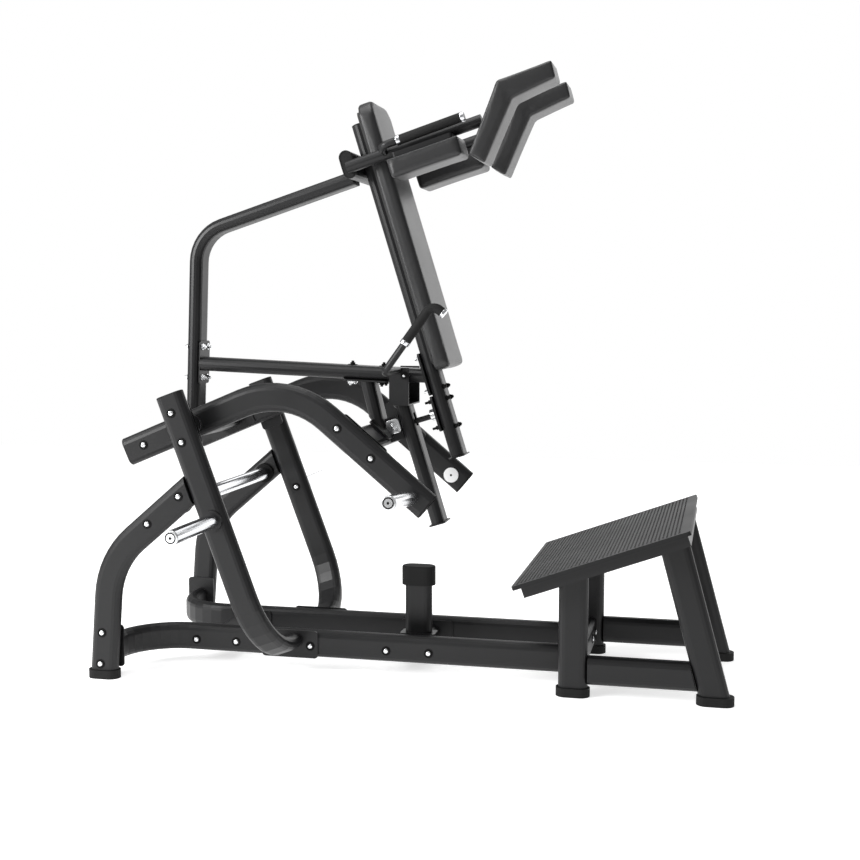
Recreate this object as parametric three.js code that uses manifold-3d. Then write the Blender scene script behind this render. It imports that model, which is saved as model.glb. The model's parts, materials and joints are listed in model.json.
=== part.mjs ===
// A plate-loaded lever squat machine: a floor frame, a carriage of two lever arms with a padded backrest,
// and a safety lever whose leg lands on a rubber stop. Millimetres, +Z up, the user faces +X.
// The origin is on the floor under the middle of the machine. Left is +Y.
import * as THREE from 'three';
import { mergeVertices } from 'three/addons/utils/BufferGeometryUtils.js';
import Module from 'manifold-3d';

const wasm = await Module();
wasm.setup();

// Driving dimensions
const GAP = 0.3; // between pieces that touch
const TUBE = 100; // flat-oval tube, long side of the section
const THIN = 50; // flat-oval tube, short side
const PLATE = 5; // end flange thickness
const SIDES = [['left', 1], ['right', -1]];

const ARM_Y = 319; // lever arm centreplane
const FRAME_Y = 438; // rear leg and diagonal centreplane
const RAIL_Y = 157; // base rail centreplane
const RAIL_Z = 91;
const CROSS_Z = 84; // the two members between the base rails
const LEG_Y = 286; // platform leg centreplane

const CARRIAGE_PIVOT = [-757, 893]; // X and Z of the lever arms' axis
const LEVER_PIVOT = [-50, 1060]; // X and Z of the safety lever's axis
const BACK_TILT = 17.15; // degrees that the backrest leans back
const BRACKET_HALF = 85; // half the lever bracket's width
const POST_FOOT = [133, 767]; // X and Z of the back post's lower end
const POST_LENGTH = 1235;
const PLATFORM_TILT = 20;
const PLATFORM_EDGE = [392, 389]; // X and Z of the tread's lower edge
const TREAD_LENGTH = 609;
const TREAD_WIDTH = 842;
const TREAD_THICK = 14;
const FRAME_DEPTH = 37; // of the bars under the tread

const ARM_REAR = [-1002, 791];
const ARM_CORNER = [-403, 1040];
const ARM_FRONT = [86, 630];
const LEG_FOOT = [-1057, 0];
const LEG_CORNER = [-1025, 418];
const LEG_TOP = [-709.5, 688];
const DIAGONAL_TOP = [-789, 1002];
const DIAGONAL_CORNER = [-454, 97];
const STOP_X = -18;
const STOP_TOP = 362;
const REAR_CROSS_X = -740;
const MID_LEG_X = 583;
const FRONT_LEG_FOOT = [1056, 0];
const FRONT_LEG_TOP = [902, 566];
const FOOT_LIP = 8; // how far a rubber foot stands out past its tube, and its floor thickness
const FOOT_HEIGHT = 30;
const HORN_RADIUS = 25;
const STORAGE_HORN = [-630, 577]; // X and Z of the storage horns

const paint = { color: 0x17181a, roughness: 0.45, metalness: 0.4 };
const chrome = { color: 0xd8dadd, roughness: 0.12, metalness: 1 };
const steel = { color: 0xb9bcc0, roughness: 0.3, metalness: 1 };
const rubber = { color: 0x141414, roughness: 0.8, metalness: 0 };
const hide = { color: 0x26272a, roughness: 0.6, metalness: 0 };
const board = { color: 0x1b1b1c, roughness: 0.7, metalness: 0 };

const machine = new THREE.Group();
const backrest = new THREE.Group(); // local Z runs up the back post, local X out of the pad
backrest.position.set(POST_FOOT[0], 0, POST_FOOT[1]);
backrest.rotation.y = -THREE.MathUtils.degToRad(BACK_TILT);
const platform = new THREE.Group(); // local X runs up the tread, local Z out of it
platform.position.set(PLATFORM_EDGE[0], 0, PLATFORM_EDGE[1]);
platform.rotation.y = -THREE.MathUtils.degToRad(PLATFORM_TILT);
machine.add(backrest, platform);
machine.updateMatrixWorld(true);

function addPiece(name, geometry, look, parent = machine) {
  const mesh = new THREE.Mesh(geometry, new THREE.MeshStandardMaterial(look));
  mesh.name = name;
  parent.add(mesh);
  return mesh;
}

// Solids: joining and cutting

function toSolid(geometry) {
  const bare = geometry.clone();
  bare.deleteAttribute('normal');
  bare.deleteAttribute('uv');
  const merged = mergeVertices(bare, 1e-4);
  const vertProperties = new Float32Array(merged.attributes.position.array);
  const triVerts = new Uint32Array(merged.index.array);
  return new wasm.Manifold(new wasm.Mesh({ numProp: 3, vertProperties, triVerts }));
}

function toGeometry(solid) {
  const mesh = solid.getMesh();
  const geometry = new THREE.BufferGeometry();
  geometry.setAttribute('position', new THREE.BufferAttribute(new Float32Array(mesh.vertProperties), 3));
  geometry.setIndex(new THREE.BufferAttribute(new Uint32Array(mesh.triVerts), 1));
  return geometry;
}

function weld(first, ...others) {
  return toGeometry(others.reduce((solid, other) => solid.add(toSolid(other)), toSolid(first)));
}

function cut(first, ...tools) {
  return toGeometry(tools.reduce((solid, tool) => solid.subtract(toSolid(tool)), toSolid(first)));
}

// Directions and placing

function unit(x, z) {
  return new THREE.Vector3(x, 0, z).normalize();
}

function leaning(degrees) {
  const angle = THREE.MathUtils.degToRad(degrees);
  return new THREE.Vector3(Math.cos(angle), 0, Math.sin(angle));
}

// Moves a shape so that its own X and Z lie along the given directions and its origin at the given point.
function placed(geometry, origin, xAxis, zAxis) {
  const x = xAxis.clone().normalize();
  const z = zAxis.clone().normalize();
  const y = z.clone().cross(x);
  const matrix = new THREE.Matrix4().makeBasis(x, y, z).setPosition(...origin);
  return geometry.applyMatrix4(matrix);
}

const FORWARD = new THREE.Vector3(1, 0, 0);
const SIDEWAYS = new THREE.Vector3(0, 1, 0);
const UP = new THREE.Vector3(0, 0, 1);

// Half of space beyond a plane, as a large block to cut with
function beyond(origin, normal) {
  const size = 4000;
  const across = Math.abs(normal.y) > 0.9 ? FORWARD : SIDEWAYS;
  return placed(new THREE.BoxGeometry(size, size, size).translate(0, 0, size / 2), origin, across, normal);
}

function block(x0, x1, y0, y1, z0, z1) {
  const box = new THREE.BoxGeometry(Math.abs(x1 - x0), Math.abs(y1 - y0), Math.abs(z1 - z0));
  return box.translate((x0 + x1) / 2, (y0 + y1) / 2, (z0 + z1) / 2);
}

// A flat plate with rounded corners, in its own XY plane, from z = 0 up
function roundedPlate(width, height, thickness, radius = 12) {
  const shape = new THREE.Shape();
  const x = width / 2 - radius;
  const y = height / 2 - radius;
  shape.absarc(x, y, radius, 0, Math.PI / 2);
  shape.absarc(-x, y, radius, Math.PI / 2, Math.PI);
  shape.absarc(-x, -y, radius, Math.PI, Math.PI * 1.5);
  shape.absarc(x, -y, radius, Math.PI * 1.5, Math.PI * 2);
  return new THREE.ExtrudeGeometry(shape, { depth: thickness, bevelEnabled: false, curveSegments: 2 });
}

// Tubes: a flat-oval or round section along straight runs with filleted corners

class TubePath extends THREE.Curve {
  constructor(corners, radius, side, bendSteps = 8) {
    super();
    this.side = side;
    this.points = [corners[0]];
    this.tangents = [corners[1].clone().sub(corners[0]).normalize()];
    for (let i = 1; i < corners.length - 1; i += 1) {
      this.addBend(corners[i - 1], corners[i], corners[i + 1], radius, bendSteps);
    }
    this.points.push(corners.at(-1));
    this.tangents.push(corners.at(-1).clone().sub(corners.at(-2)).normalize());
  }

  addBend(before, corner, after, radius, bendSteps) {
    const arriving = corner.clone().sub(before).normalize();
    const leaving = after.clone().sub(corner).normalize();
    const turn = arriving.angleTo(leaving);
    const start = corner.clone().addScaledVector(arriving, -radius * Math.tan(turn / 2));
    const inward = leaving.clone().addScaledVector(arriving, -arriving.dot(leaving)).normalize();
    for (let step = 0; step <= bendSteps; step += 1) {
      const angle = turn * step / bendSteps;
      const point = start.clone().addScaledVector(arriving, radius * Math.sin(angle));
      this.points.push(point.addScaledVector(inward, radius * (1 - Math.cos(angle))));
      this.tangents.push(arriving.clone().multiplyScalar(Math.cos(angle)).addScaledVector(inward, Math.sin(angle)));
    }
  }

  get steps() {
    return this.points.length - 1;
  }

  getPoint(t, target = new THREE.Vector3()) {
    return target.copy(this.points[Math.round(t * this.steps)]);
  }

  getPointAt(t, target) {
    return this.getPoint(t, target);
  }

  // Keeps the section's own X along one fixed direction, so the tube never twists
  computeFrenetFrames(segments) {
    const tangents = [];
    const normals = [];
    const binormals = [];
    for (let i = 0; i <= segments; i += 1) {
      const tangent = this.tangents[Math.round(i / segments * this.steps)];
      const normal = this.side.clone().addScaledVector(tangent, -this.side.dot(tangent)).normalize();
      tangents.push(tangent);
      normals.push(normal);
      binormals.push(tangent.clone().cross(normal));
    }
    return { tangents, normals, binormals };
  }
}

function flatOval(across, deep) {
  const radius = Math.min(across, deep) / 2;
  const x = across / 2 - radius;
  const y = deep / 2 - radius;
  const shape = new THREE.Shape();
  if (x > 0) {
    shape.absarc(x, 0, radius, -Math.PI / 2, Math.PI / 2);
    shape.absarc(-x, 0, radius, Math.PI / 2, Math.PI * 1.5);
  } else {
    shape.absarc(0, y, radius, 0, Math.PI);
    shape.absarc(0, -y, radius, Math.PI, Math.PI * 2);
  }
  return shape;
}

function sweep(section, corners, { radius = 0, side = SIDEWAYS, curveSegments = 4, bendSteps = 8 } = {}) {
  const path = new TubePath(corners.map((corner) => new THREE.Vector3(...corner)), radius, side, bendSteps);
  return new THREE.ExtrudeGeometry(section, { steps: path.steps, extrudePath: path, curveSegments });
}

function rod(radius, start, end, segments = 24) {
  const along = new THREE.Vector3(...end).sub(new THREE.Vector3(...start));
  const cylinder = new THREE.CylinderGeometry(radius, radius, along.length(), segments);
  cylinder.translate(0, along.length() / 2, 0).rotateX(Math.PI / 2);
  const across = Math.abs(along.clone().normalize().y) > 0.5 ? FORWARD : SIDEWAYS;
  return placed(cylinder, start, across, along);
}

function inPlane(y, [x, z]) {
  return [x, y, z];
}

// A straight cross member along Y with a flange at each end, its wide side along the given direction
function crossMember(x, z, reach, wide, flangeLength, flangeHeight) {
  const inner = reach - GAP;
  const tube = sweep(flatOval(TUBE, THIN), [[x, -inner + 1, z], [x, inner - 1, z]], { side: wide });
  const flanges = [1, -1].map((sign) => {
    const plate = roundedPlate(flangeLength, flangeHeight, PLATE);
    return placed(plate, [x, sign > 0 ? inner - PLATE : -inner, z], wide, SIDEWAYS);
  });
  return weld(tube, ...flanges);
}

// Floor frame

function buildFoot(name, leg, x, y, length) {
  const outline = flatOval(length, THIN + 2 * FOOT_LIP);
  const foot = new THREE.ExtrudeGeometry(outline, { depth: FOOT_HEIGHT, bevelEnabled: false, curveSegments: 5 });
  addPiece(name, cut(foot.translate(x, y, 0), cut(leg, beyond([x, y, FOOT_LIP], UP.clone().negate()))), rubber);
}

function floorLeg(y, foot, rest, radius, grow = 0) {
  const down = new THREE.Vector2(foot[0] - rest[0][0], foot[1] - rest[0][1]).setLength(40);
  const start = [foot[0] + down.x, y, foot[1] + down.y];
  const section = flatOval(THIN + grow, TUBE + grow);
  return sweep(section, [start, ...rest.map((corner) => inPlane(y, corner))], { radius });
}

function buildRearLeg(side, sign) {
  const y = sign * FRAME_Y;
  const along = unit(DIAGONAL_CORNER[0] - DIAGONAL_TOP[0], DIAGONAL_CORNER[1] - DIAGONAL_TOP[1]);
  const forward = new THREE.Vector3(-along.z, 0, along.x);
  const rearFace = new THREE.Vector3(DIAGONAL_TOP[0], y, DIAGONAL_TOP[1]);
  rearFace.addScaledVector(forward, -(TUBE / 2 + GAP));
  const floor = beyond([LEG_FOOT[0], y, FOOT_LIP + GAP], UP.clone().negate());
  const leg = cut(floorLeg(y, LEG_FOOT, [LEG_CORNER, LEG_TOP], 300), floor, beyond(rearFace, forward));
  addPiece(`rear_leg_${side}`, leg, paint);
  const socket = floorLeg(y, LEG_FOOT, [LEG_CORNER, LEG_TOP], 300, 2 * GAP);
  buildFoot(`rear_foot_${side}`, socket, LEG_FOOT[0] + 1, y, TUBE + 2 * FOOT_LIP);
}

function buildDiagonal(side, sign) {
  const along = unit(DIAGONAL_CORNER[0] - DIAGONAL_TOP[0], DIAGONAL_CORNER[1] - DIAGONAL_TOP[1]);
  const wide = new THREE.Vector3(-along.z, 0, along.x);
  const railFace = RAIL_Y + THIN / 2 + GAP;
  const [x, z] = DIAGONAL_CORNER;
  const corners = [inPlane(sign * FRAME_Y, DIAGONAL_TOP), [x, sign * FRAME_Y, z], [x, sign * (railFace + 1), z]];
  const tube = sweep(flatOval(TUBE, THIN), corners, { radius: 218, side: wide });
  const flange = roundedPlate(211, 100, PLATE);
  placed(flange, [x, sign > 0 ? railFace : -railFace - PLATE, RAIL_Z], FORWARD, SIDEWAYS);
  addPiece(`diagonal_strut_${side}`, weld(tube, flange), paint);
}

function buildBaseRail(side, sign) {
  const bendRadius = 200;
  const flangeX = LEG_FOOT[0] + 8;
  const legFace = FRAME_Y - THIN / 2 - GAP;
  const crossFace = MID_LEG_X - THIN / 2 - GAP;
  const corners = [
    [crossFace - 1, sign * RAIL_Y, RAIL_Z],
    [flangeX, sign * RAIL_Y, RAIL_Z],
    [flangeX, sign * (legFace - 1), RAIL_Z],
  ];
  const tube = sweep(flatOval(TUBE, THIN), corners, { radius: bendRadius, side: UP });
  const rearFlange = roundedPlate(110, 150, PLATE);
  placed(rearFlange, [flangeX, sign > 0 ? legFace - PLATE : -legFace, 109], FORWARD, SIDEWAYS);
  const frontFlange = roundedPlate(150, 96, PLATE);
  placed(frontFlange, [crossFace - PLATE, sign * RAIL_Y, RAIL_Z], SIDEWAYS, FORWARD);
  addPiece(`base_rail_${side}`, weld(tube, rearFlange, frontFlange), paint);
}

function buildStop() {
  const reach = RAIL_Y - THIN / 2;
  addPiece('rear_rail_cross_member', crossMember(REAR_CROSS_X, CROSS_Z, reach, FORWARD, 200, 86), paint);
  addPiece('stop_cross_member', crossMember(STOP_X, CROSS_Z, reach, FORWARD, 200, 86), paint);
  const foot = CROSS_Z + THIN / 2 + GAP;
  const postTop = STOP_TOP - 58;
  const post = sweep(flatOval(THIN, TUBE), [[STOP_X, 0, foot + 1], [STOP_X, 0, postTop]]);
  const base = roundedPlate(130, 70, PLATE).translate(STOP_X, 0, foot);
  addPiece('stop_post', weld(post, base), paint);
  const outline = flatOval(TUBE + 24, THIN + 22);
  const cap = new THREE.ExtrudeGeometry(outline, {
    depth: STOP_TOP - postTop + 12 - 5,
    bevelEnabled: true,
    bevelThickness: 5,
    bevelSize: 5,
    bevelOffset: -5,
    bevelSegments: 2,
    curveSegments: 5,
  });
  cap.translate(STOP_X, 0, postTop - 12);
  const socket = sweep(flatOval(THIN + 2 * GAP, TUBE + 2 * GAP), [[STOP_X, 0, foot], [STOP_X, 0, postTop + GAP]]);
  const floor = beyond([STOP_X, 0, postTop - 12], UP.clone().negate());
  addPiece('stop_bumper', cut(cap, socket, floor), rubber);
}

// Standing platform

function platformPoint(x, y, z) {
  return new THREE.Vector3(x, y, z).applyMatrix4(platform.matrixWorld);
}

function buildPlatformSide(side, sign) {
  const y = sign * LEG_Y;
  const under = beyond(platformPoint(0, y, -TREAD_THICK - FRAME_DEPTH - 2 * GAP), platformNormal);
  const floor = beyond([0, y, FOOT_LIP + GAP], UP.clone().negate());
  const midTop = [MID_LEG_X, 500];
  const midFoot = [MID_LEG_X, 0];
  addPiece(`mid_leg_${side}`, cut(floorLeg(y, midFoot, [midTop], 0), floor, under), paint);
  buildFoot(`mid_foot_${side}`, floorLeg(y, midFoot, [midTop], 0, 2 * GAP), MID_LEG_X, y, TUBE + 2 * FOOT_LIP);
  addPiece(`front_leg_${side}`, cut(floorLeg(y, FRONT_LEG_FOOT, [FRONT_LEG_TOP], 0), floor, under), paint);
  const socket = floorLeg(y, FRONT_LEG_FOOT, [FRONT_LEG_TOP], 0, 2 * GAP);
  buildFoot(`front_foot_${side}`, socket, FRONT_LEG_FOOT[0] - 4, y, TUBE + 2 * FOOT_LIP + 8);

  const start = MID_LEG_X + TUBE / 2 + GAP;
  const along = unit(FRONT_LEG_TOP[0] - FRONT_LEG_FOOT[0], FRONT_LEG_TOP[1] - FRONT_LEG_FOOT[1]);
  const forward = new THREE.Vector3(along.z, 0, -along.x);
  const face = new THREE.Vector3(FRONT_LEG_FOOT[0], y, FRONT_LEG_FOOT[1]).addScaledVector(forward, -TUBE / 2 - GAP);
  const rail = sweep(flatOval(TUBE, THIN), [[start, y, RAIL_Z], [FRONT_LEG_FOOT[0], y, RAIL_Z]], { side: UP });
  addPiece(`platform_side_rail_${side}`, cut(rail, beyond(face, forward)), paint);
}

const platformNormal = leaning(PLATFORM_TILT + 90);

function buildPlatformTop() {
  const crossReach = LEG_Y - THIN / 2 - GAP;
  const ends = [[MID_LEG_X, -crossReach, RAIL_Z], [MID_LEG_X, crossReach, RAIL_Z]];
  addPiece('platform_cross_tube', sweep(flatOval(TUBE, THIN), ends, { side: UP }), paint);

  const tread = roundedPlate(TREAD_LENGTH, TREAD_WIDTH, TREAD_THICK, 10);
  addPiece('tread_plate', tread.translate(TREAD_LENGTH / 2, 0, -TREAD_THICK), paint, platform);

  const bar = 30; // width of the frame's bars
  const top = -TREAD_THICK - GAP;
  const bottom = top - FRAME_DEPTH;
  const half = TREAD_WIDTH / 2 - 25;
  const first = 25;
  const last = TREAD_LENGTH - 14;
  const sides = [1, -1].map((sign) => block(first, last, sign * half, sign * (half - bar), bottom, top));
  const crossBars = [[first, first + bar], [156, 216], [345, 375], [508, last]];
  const bars = crossBars.map(([x0, x1]) => block(x0, x1, -half + 1, half - 1, bottom, top));
  addPiece('platform_frame', weld(...sides.concat(bars)), paint, platform);
}

// Carriage pivot, storage horns and the chrome cross tube

function buildPivot(side, sign) {
  const [x, z] = CARRIAGE_PIVOT;
  const armFace = ARM_Y + THIN / 2 + GAP;
  const frameFace = FRAME_Y - THIN / 2 - GAP;
  const along = unit(DIAGONAL_TOP[0] - DIAGONAL_CORNER[0], DIAGONAL_TOP[1] - DIAGONAL_CORNER[1]);
  const onDiagonal = [x + 6, sign > 0 ? frameFace - 6 : -frameFace, z + 2];
  const flange = placed(roundedPlate(160, 90, 6), onDiagonal, along, SIDEWAYS);
  const barrel = rod(40, [x, sign * (armFace + 8), z], [x, sign * (frameFace - 2), z], 32);
  const bore = rod(20.6, [x, sign * armFace, z], [x, sign * (frameFace - 12), z], 32);
  addPiece(`pivot_housing_${side}`, cut(weld(flange, barrel), bore), paint);
  const disc = rod(40, [x, sign * armFace, z], [x, sign * (armFace + 6), z], 32);
  const shaft = rod(20, [x, sign * (armFace + 3), z], [x, sign * (frameFace - 14), z], 32);
  addPiece(`pivot_shaft_${side}`, weld(disc, shaft), steel);
}

function buildStorageHorn(side, sign) {
  const root = FRAME_Y + THIN / 2 + GAP;
  const tip = 800;
  const [x, z] = STORAGE_HORN;
  addPiece(`storage_horn_base_${side}`, rod(36, [x, sign * root, z], [x, sign * (root + 8), z]), paint);
  addPiece(`storage_horn_${side}`, rod(HORN_RADIUS, [x, sign * (root + 8 + GAP), z], [x, sign * tip, z]), chrome);
}

function buildChromeTube() {
  const reach = FRAME_Y - THIN / 2 - GAP;
  const [x, z] = [-764, 630];
  const discs = [1, -1].map((sign) => rod(38, [x, sign * reach, z], [x, sign * (reach - 6), z]));
  addPiece('chrome_cross_tube', weld(rod(25, [x, -reach + 2, z], [x, reach - 2, z]), ...discs), chrome);
}

// Carriage

const rearSlope = unit(ARM_CORNER[0] - ARM_REAR[0], ARM_CORNER[1] - ARM_REAR[1]);
const frontSlope = unit(ARM_FRONT[0] - ARM_CORNER[0], ARM_FRONT[1] - ARM_CORNER[1]);
const armReach = ARM_Y - THIN / 2;
const REAR_MEMBER = [-864, 848];
const FRONT_MEMBER = [-163, 841];

function buildArm(side, sign) {
  const corners = [ARM_REAR, ARM_CORNER, ARM_FRONT].map((corner) => inPlane(sign * ARM_Y, corner));
  addPiece(`lever_arm_${side}`, sweep(flatOval(THIN, TUBE), corners, { radius: 300, bendSteps: 10 }), paint);
  const rise = THREE.MathUtils.degToRad(5);
  const root = [39, sign * (ARM_Y + THIN / 2 + 2.5), 662];
  const tip = [39, root[1] + sign * 300 * Math.cos(rise), root[2] + 300 * Math.sin(rise)];
  addPiece(`weight_horn_${side}`, rod(HORN_RADIUS, root, tip), chrome);
}

function memberTop([x, z], slope, lift) {
  return [x - slope.z * (THIN / 2 + lift), 0, z + slope.x * (THIN / 2 + lift)];
}

// A plate that lies on top of a cross member, and the block that cuts a tube off just above it
function saddle(member, slope, lift, length, width) {
  const up = new THREE.Vector3(-slope.z, 0, slope.x);
  const plate = placed(roundedPlate(length, width, 8), memberTop(member, slope, lift), slope, up);
  const trim = beyond(memberTop(member, slope, lift + 4), up.clone().negate());
  return { plate, trim };
}

function buildMainTubes() {
  addPiece('rear_arm_cross_member', crossMember(...REAR_MEMBER, armReach, rearSlope, 200, 94), paint);
  addPiece('front_arm_cross_member', crossMember(...FRONT_MEMBER, armReach, frontSlope, 200, 94), paint);

  const uprightFoot = [-886, 0, 810];
  const uprightCorner = [-855.5, 0, 1572];
  const headFace = backrestPoint(-3 * THIN / 2 - 2 * GAP, 0, HEAD_HEIGHT - 29);
  const { plate, trim } = saddle(REAR_MEMBER, rearSlope, GAP, 96, 170);
  const upright = sweep(flatOval(TUBE, THIN), [uprightFoot, uprightCorner, headFace], { radius: 145 });
  addPiece('upright_tube', weld(cut(upright, trim), plate), paint);

  const tilt = leaning(-2.35);
  const tubeRear = [-848, 0, 1092.3];
  const rearFlange = placed(roundedPlate(160, 92, 4), [-848.6, 0, 1098], leaning(87.65), tilt);
  const postFace = backrestPoint(-THIN / 2 - GAP, 0, 0);
  const forward = leaning(BACK_TILT);
  const inward = beyond(postFace.clone().addScaledVector(forward, -3), forward);
  const tubeFront = [80, 0, 1092.3 - 925 * Math.tan(THREE.MathUtils.degToRad(2.35))];
  const tube = cut(sweep(flatOval(TUBE, THIN), [tubeRear, tubeFront]), inward);
  const frontCentre = backrestPoint(-THIN / 2 - GAP - 8, 0, 318);
  const frontFlange = placed(roundedPlate(156, 100, 8), frontCentre.toArray(), leaning(BACK_TILT + 90), forward);
  const pinHole = rod(10.6, [LEVER_PIVOT[0], -80, LEVER_PIVOT[1]], [LEVER_PIVOT[0], 80, LEVER_PIVOT[1]]);
  addPiece('horizontal_tube', cut(weld(tube, rearFlange, frontFlange), pinHole), paint);
}

function buildStrut() {
  const { plate, trim } = saddle(FRONT_MEMBER, frontSlope, GAP, 96, 170);
  const under = [-207, 0, 1066.2 - 25 - GAP];
  const tilt = leaning(-2.35);
  const topPlate = placed(roundedPlate(170, 100, 6), under, tilt, leaning(-92.35));
  const tube = sweep(flatOval(TUBE, THIN), [[-209.5, 0, 1057], [-150, 0, 820]]);
  const topTrim = beyond([under[0], 0, under[2] - 3], leaning(87.65));
  addPiece('strut', weld(cut(tube, trim, topTrim), plate, topPlate), paint);
}

// Backrest, in the tilted group

const HEAD_HEIGHT = 1095;
const BAR_HEIGHT = 1081;
const BAR_RADIUS = 21;
const BAR_Y = 165;
const BRACE_HEIGHT = 167;

function backrestPoint(x, y, z) {
  return new THREE.Vector3(x, y, z).applyMatrix4(backrest.matrixWorld);
}

function buildPost() {
  const post = sweep(flatOval(TUBE, THIN), [[0, 0, 0], [0, 0, POST_LENGTH]]);
  const lip = roundedPlate(60, 110, PLATE);
  addPiece('back_post', weld(post, lip), paint, backrest);
  const headX = -THIN - GAP;
  const reach = BAR_Y - BAR_RADIUS - GAP;
  const ends = [[headX, -reach, HEAD_HEIGHT], [headX, reach, HEAD_HEIGHT]];
  addPiece('head_cross_tube', sweep(flatOval(TUBE, THIN), ends, { side: UP }), paint, backrest);

  const boardPlate = roundedPlate(230, 920, 8, 20);
  placed(boardPlate, [THIN / 2 + GAP, 0, 803], SIDEWAYS, FORWARD);
  addPiece('back_pad_board', boardPlate, board, backrest);
  addPiece('back_pad', backPad(), hide, backrest);
}

function backPad() {
  const half = 133;
  const low = 316;
  const high = 1291;
  const topRadius = 60;
  const lowRadius = 25;
  const shape = new THREE.Shape();
  shape.absarc(half - topRadius, high - topRadius, topRadius, 0, Math.PI / 2);
  shape.absarc(-half + topRadius, high - topRadius, topRadius, Math.PI / 2, Math.PI);
  shape.absarc(-half + lowRadius, low + lowRadius, lowRadius, Math.PI, Math.PI * 1.5);
  shape.absarc(half - lowRadius, low + lowRadius, lowRadius, Math.PI * 1.5, Math.PI * 2);
  const pad = new THREE.ExtrudeGeometry(shape, {
    depth: 54 - 12,
    bevelEnabled: true,
    bevelThickness: 12,
    bevelSize: 10,
    bevelOffset: -10,
    bevelSegments: 2,
    curveSegments: 4,
  });
  const solid = cut(pad, beyond([0, 0, 0], UP.clone().negate()));
  return placed(solid, [THIN / 2 + 8 + 2 * GAP, 0, 0], SIDEWAYS, FORWARD);
}

function buildBrace() {
  const lugs = [1, -1].map((sign) => block(-222, -171, sign * 22, sign * 29, 118, 206));
  const boss = rod(17, [-195, -25, BRACE_HEIGHT], [-195, 25, BRACE_HEIGHT]);
  const bar = rod(10, [-200, 0, BRACE_HEIGHT], [-THIN / 2 - 6, 0, BRACE_HEIGHT]);
  const flange = roundedPlate(130, 100, 8);
  placed(flange, [-THIN / 2 - GAP - 8, 0, 171], UP, FORWARD);
  const toWorld = backrest.matrixWorld;
  const bracket = weld(...lugs, boss, bar, flange).applyMatrix4(toWorld);
  const member = sweep(
    flatOval(TUBE + 2 * GAP, THIN + 2 * GAP),
    [[FRONT_MEMBER[0], -200, FRONT_MEMBER[1]], [FRONT_MEMBER[0], 200, FRONT_MEMBER[1]]],
    { side: frontSlope },
  );
  const lower = saddle(FRONT_MEMBER, frontSlope, 0, 98, 174).plate;
  const upper = saddle(FRONT_MEMBER, frontSlope, 2 * GAP, 98, 174).plate;
  addPiece('brace_bar', cut(bracket, member, lower, upper), paint);
}

function buildShoulders(side, sign) {
  const near = sign * 130;
  const far = sign * 275;
  const y = sign * BAR_Y;
  const barStart = -THIN;
  const bar = rod(BAR_RADIUS, [barStart, y, BAR_HEIGHT], [448, y, BAR_HEIGHT]);
  const plate = roundedPlate(215, 105, 20, 8).translate(240, sign * 197, 1042 + GAP);
  addPiece(`shoulder_bar_${side}`, weld(bar, plate), paint, backrest);

  const cushion = roundedPlate(255, 145, 56 - 8, 12).translate(240, sign * 202.5, 985);
  const pad = weld(cushion, block(118, 362, near + sign * 5, far - sign * 5, 977, 990));
  const padTop = block(112.5, 367.5, near, far, 1033, 1042);
  addPiece(`shoulder_pad_${side}`, weld(pad, padTop), hide, backrest);

  const handleY = sign * 235;
  const route = [[97, y, BAR_HEIGHT], [97, handleY, 1097], [405, handleY, 1100]];
  const handle = sweep(flatOval(27, 26.9), route, { radius: 30, side: UP });
  const clear = rod(BAR_RADIUS + GAP, [0, y, BAR_HEIGHT], [300, y, BAR_HEIGHT]);
  addPiece(`shoulder_handle_${side}`, cut(handle, clear), paint, backrest);

  const outline = new THREE.Shape();
  outline.moveTo(386, 970);
  outline.lineTo(428, 924);
  outline.lineTo(577, 1096);
  outline.lineTo(733, 1113);
  outline.lineTo(735, 1171);
  outline.lineTo(545, 1168);
  const bent = new THREE.ExtrudeGeometry(outline, { depth: 145, bevelEnabled: false });
  bent.rotateX(Math.PI / 2).translate(0, sign > 0 ? 275 : -130, 0);
  addPiece(`neck_pad_${side}`, bent, hide, backrest);
}

// Safety lever

function buildLever() {
  const [x, z] = LEVER_PIVOT;
  const cheek = PLATE;
  const inside = BRACKET_HALF - PLATE;
  const rear = -107;
  const front = -35;
  const low = 953;
  const high = 1088;
  const cheeks = [1, -1].map((sign) => block(rear, front, sign * inside, sign * (inside + cheek), low, high));
  const back = block(rear, rear + cheek, -inside - 1, inside + 1, low, 1024);
  const sole = block(rear, front, -inside - 1, inside + 1, low, low + cheek);
  const pinHole = rod(10 + GAP, [x, -110, z], [x, 110, z]);
  addPiece('lever_bracket', cut(weld(...cheeks, back, sole), pinHole), paint);
  addPiece('lever_pivot_pin', rod(10, [x, -BRACKET_HALF - 7, z], [x, BRACKET_HALF + 7, z]), steel);

  const legX = -141;
  const top = backrestPoint(legX, 0, 300);
  const tip = backrestPoint(legX, 0, -214);
  const leg = sweep(flatOval(TUBE, THIN), [top.toArray(), tip.toArray()]);
  const lip = placed(roundedPlate(62, 112, PLATE), tip.toArray(), leaning(BACK_TILT), leaning(BACK_TILT + 90));
  const trim = beyond([0, 0, low - GAP], UP);
  const slot = block(legX - 40, legX + 40, -15, 15, 150, 199).applyMatrix4(backrest.matrixWorld);
  addPiece('drop_leg', cut(weld(leg, lip), trim, slot), paint);
}

// The one release handle, on the user's right
function buildHipHandle() {
  const reach = -300;
  const route = [
    [-72, -BRACKET_HALF - GAP, 1079],
    [-69, reach, 1079],
    [101, reach, 1312],
    [141, reach, 1280],
  ];
  const path = sweep(flatOval(25, 24.9), route, { radius: 30, side: leaning(-36.1), curveSegments: 3, bendSteps: 5 });
  addPiece('hip_handle', path, paint);
}

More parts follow.
